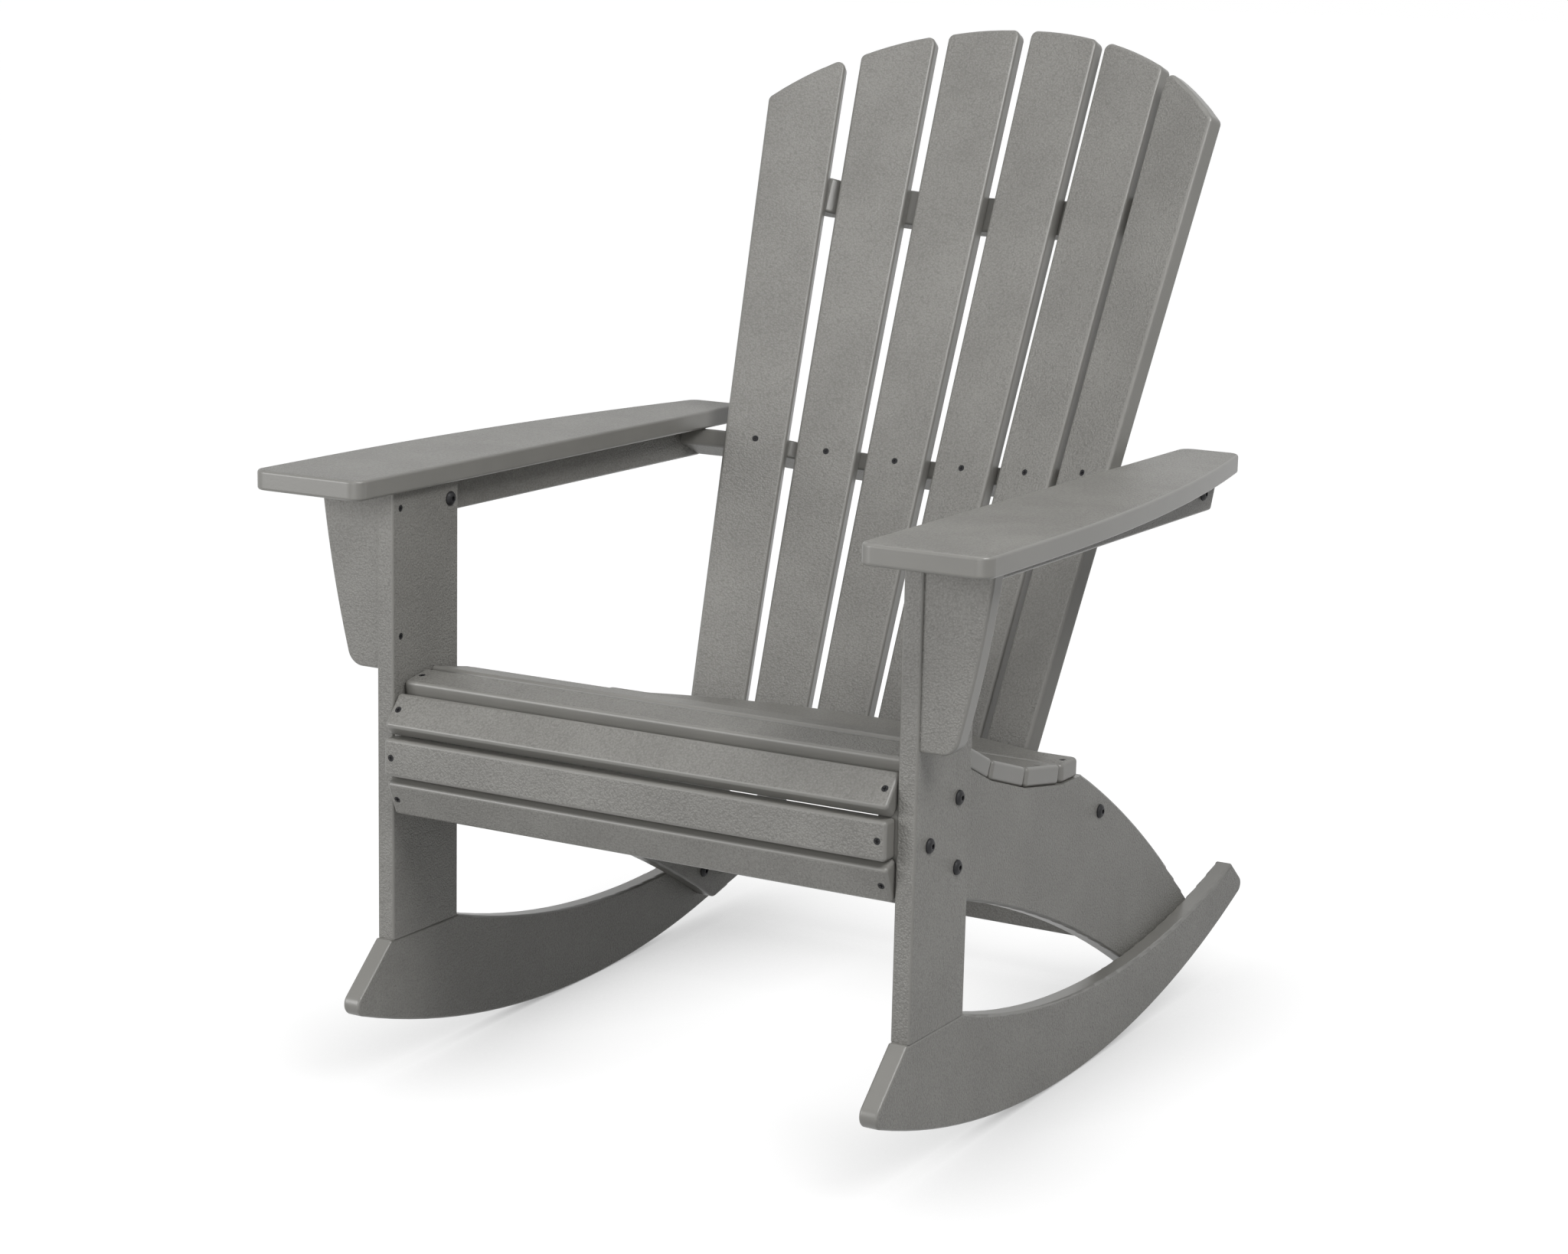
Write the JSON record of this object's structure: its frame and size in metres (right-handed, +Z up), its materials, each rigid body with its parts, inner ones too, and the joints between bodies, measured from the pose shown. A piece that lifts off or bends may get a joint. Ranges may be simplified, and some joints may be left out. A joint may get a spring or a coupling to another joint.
{
  "type": "rocking adirondack chair",
  "caption": "Slatted rocking armchair of flat boards: fan back, waterfall seat, wide flat arms on front legs, and curved rockers joined to the side panels.",
  "frame": {"origin": "on the middle plane, at the line where the rockers touch the floor when the empty chair rests", "axes": "+Z up, the chair faces -Y, +X to the sitter's left"},
  "size_m": [0.8018, 0.8847, 1.0235],
  "materials": {
    "grey_board": "slate grey solid plastic lumber with a fine pebble grain",
    "black_fastener": "black coated steel"
  },
  "bodies": {
    "root": {"arm_level_back_rail": "grey_board", "arm_level_back_rail_bolts": "black_fastener", "arm_level_back_screws": "black_fastener", "arm_rail_bolts": "black_fastener", "arm_screws": "black_fastener", "back_slat_inner_left": "grey_board", "back_slat_inner_right": "grey_board", "back_slat_middle_left": "grey_board", "back_slat_middle_right": "grey_board", "back_slat_outer_left": "grey_board", "back_slat_outer_right": "grey_board", "brace_screws": "black_fastener", "bracket_screws": "black_fastener", "cross_stretcher": "grey_board", "foot_bolts": "black_fastener", "front_slat_lower": "grey_board", "front_slat_middle": "grey_board", "front_slat_screws": "black_fastener", "front_slat_upper": "grey_board", "left_arm": "grey_board", "left_arm_bracket": "grey_board", "left_arm_rail": "grey_board", "left_front_leg": "grey_board", "left_leg_bolts": "black_fastener", "left_rocker": "grey_board", "left_side_panel": "grey_board", "leg_studs": "black_fastener", "lower_back_rail": "grey_board", "lower_back_rail_bolts": "black_fastener", "lower_back_screws": "black_fastener", "right_arm": "grey_board", "right_arm_bracket": "grey_board", "right_arm_rail": "grey_board", "right_front_leg": "grey_board", "right_leg_bolts": "black_fastener", "right_rocker": "grey_board", "right_side_panel": "grey_board", "seat_slat_a": "grey_board", "seat_slat_b": "grey_board", "seat_slat_c": "grey_board", "seat_slat_crest": "grey_board", "seat_slat_front": "grey_board", "seat_slat_rear": "grey_board", "seat_slat_screws": "black_fastener", "stretcher_screws": "black_fastener", "upper_back_brace": "grey_board"}
  },
  "joints": []
}
